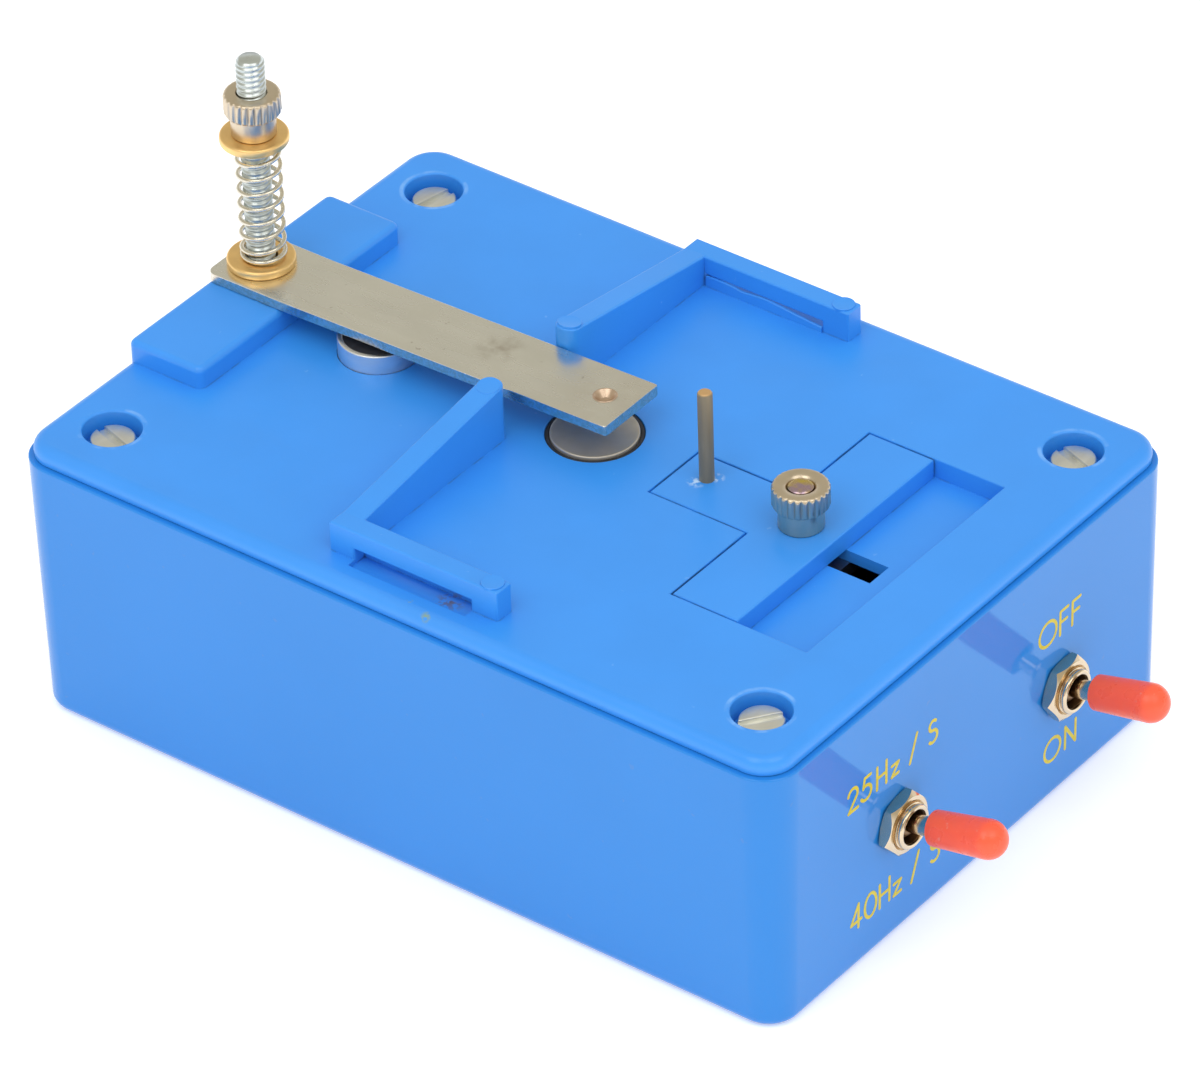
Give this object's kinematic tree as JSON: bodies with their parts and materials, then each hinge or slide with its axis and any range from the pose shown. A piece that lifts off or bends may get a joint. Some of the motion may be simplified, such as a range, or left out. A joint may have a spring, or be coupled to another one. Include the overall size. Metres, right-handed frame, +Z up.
{
  "type": "ticker timer",
  "caption": "Bench ticker timer: moulded case, sprung steel arm over an electromagnet and anvil, slotted tape guides, disc spindle on a clamped slide, toggle switches and rear sockets.",
  "frame": {"origin": "middle of the flat underside of the case", "axes": "+X along the case towards the end wall with the toggle switches, +Y towards the back wall with the sockets, +Z up"},
  "size_m": [0.1376, 0.0902, 0.0788],
  "materials": {
    "case_plastic": "glossy blue moulding",
    "lid_plastic": "satin blue moulding",
    "zinc_steel": "bright zinc plate",
    "plated_strip": "rolled and plated, slightly stained",
    "copper": "bare copper",
    "brass": "turned brass",
    "spring_steel": "bright wire",
    "nickel": "nickel plate",
    "pole_steel": "turned steel",
    "bobbin_plastic": "natural nylon",
    "black_resin": "cast resin",
    "anvil_steel": "ground steel",
    "black_rubber": "matt",
    "plain_steel": "zinc plate",
    "spindle_bronze": "darkened bronze with a bare tip",
    "yellow_zinc": "yellow passivated",
    "black_plastic": "moulded",
    "switch_nickel": "nickel plate",
    "tinned_tags": "tinned",
    "red_cap": "soft red sleeve",
    "red_socket_plastic": "moulded",
    "black_socket_plastic": "moulded",
    "board_green": "lacquered laminate",
    "capacitor_sleeve": "shrink sleeve",
    "trimmer_blue": "moulded",
    "resistor_body": "lacquered",
    "red_insulation": "PVC",
    "yellow_insulation": "PVC",
    "green_insulation": "PVC"
  },
  "bodies": {
    "case": {"base_case": "case_plastic", "lid": "lid_plastic", "lid_screws": "zinc_steel", "arm_stud": "zinc_steel", "arm_spring": "spring_steel", "magnet_pot": "pole_steel", "magnet_core": "pole_steel", "coil_bobbin": "bobbin_plastic", "coil_winding": "copper", "magnet_potting": "black_resin", "anvil": "anvil_steel", "anvil_ring": "black_rubber", "anvil_nut": "plain_steel", "power_switch_body": "black_plastic", "power_switch_bush": "switch_nickel", "power_switch_tags": "tinned_tags", "speed_switch_body": "black_plastic", "speed_switch_bush": "switch_nickel", "speed_switch_tags": "tinned_tags", "switch_nuts": "switch_nickel", "red_socket": "red_socket_plastic", "black_socket": "black_socket_plastic", "socket_sleeves": "switch_nickel", "socket_nuts": "plain_steel", "circuit_board": "board_green", "timer_chip": "black_plastic", "drive_transistor": "black_plastic", "smoothing_capacitor": "capacitor_sleeve", "rate_trimmers": "trimmer_blue", "resistors": "resistor_body", "board_screws": "plain_steel", "supply_leads": "red_insulation", "coil_leads": "yellow_insulation", "power_switch_leads": "red_insulation", "speed_switch_leads": "green_insulation"},
    "rocker": {"vibrating_arm": "plated_strip", "striker": "copper", "lower_washer": "brass"},
    "seat_washer": {"upper_washer": "brass"},
    "tension_nut": {"thumb_nut": "nickel"},
    "tongue": {"disc_slide": "lid_plastic", "disc_spindle": "spindle_bronze", "clamp_screw": "yellow_zinc", "clamp_plate": "plain_steel"},
    "clamp_grip": {"clamp_nut": "nickel"},
    "power_toggle": {"power_lever": "switch_nickel", "power_lever_cap": "red_cap"},
    "speed_toggle": {"speed_lever": "switch_nickel", "speed_lever_cap": "red_cap"}
  },
  "joints": [
    {"name": "arm_rock", "type": "hinge", "parent": "case", "child": "rocker", "pos_m": [-0.0477, 0.0017, 0.0453], "axis": [0, 1, 0], "range_deg": [0, 2.4], "stiffness_Nm_per_rad": 0.5, "springref_deg": -4.01},
    {"name": "tension_nut_lift", "type": "slide", "parent": "case", "child": "seat_washer", "axis": [0, 0, 1], "range_m": [-0.0076, 0.004], "deforming": ["arm_spring"]},
    {"name": "tension_nut_turn", "type": "hinge", "parent": "seat_washer", "child": "tension_nut", "pos_m": [-0.05525, 0.0017, 0.07], "axis": [0, 0, 1], "range_deg": [-3430, 1810]},
    {"name": "disc_slide_travel", "type": "slide", "parent": "case", "child": "tongue", "axis": [1, 0, 0], "range_m": [0, 0.01]},
    {"name": "clamp_nut_turn", "type": "hinge", "parent": "tongue", "child": "clamp_grip", "pos_m": [0.033, 0.0005, 0.045], "axis": [0, 0, 1], "range_deg": [0, 360]},
    {"name": "power_switch_throw", "type": "hinge", "parent": "case", "child": "power_toggle", "pos_m": [0.06047, 0.0184, 0.0176], "axis": [0, 1, 0], "range_deg": [0, 26]},
    {"name": "speed_switch_throw", "type": "hinge", "parent": "case", "child": "speed_toggle", "pos_m": [0.06049, -0.0172, 0.0185], "axis": [0, 1, 0], "range_deg": [0, 26]}
  ],
  "couplings": [
    {"joint": "tension_nut_turn", "follows": "tension_nut_lift", "rad_per_m": 7854}
  ]
}
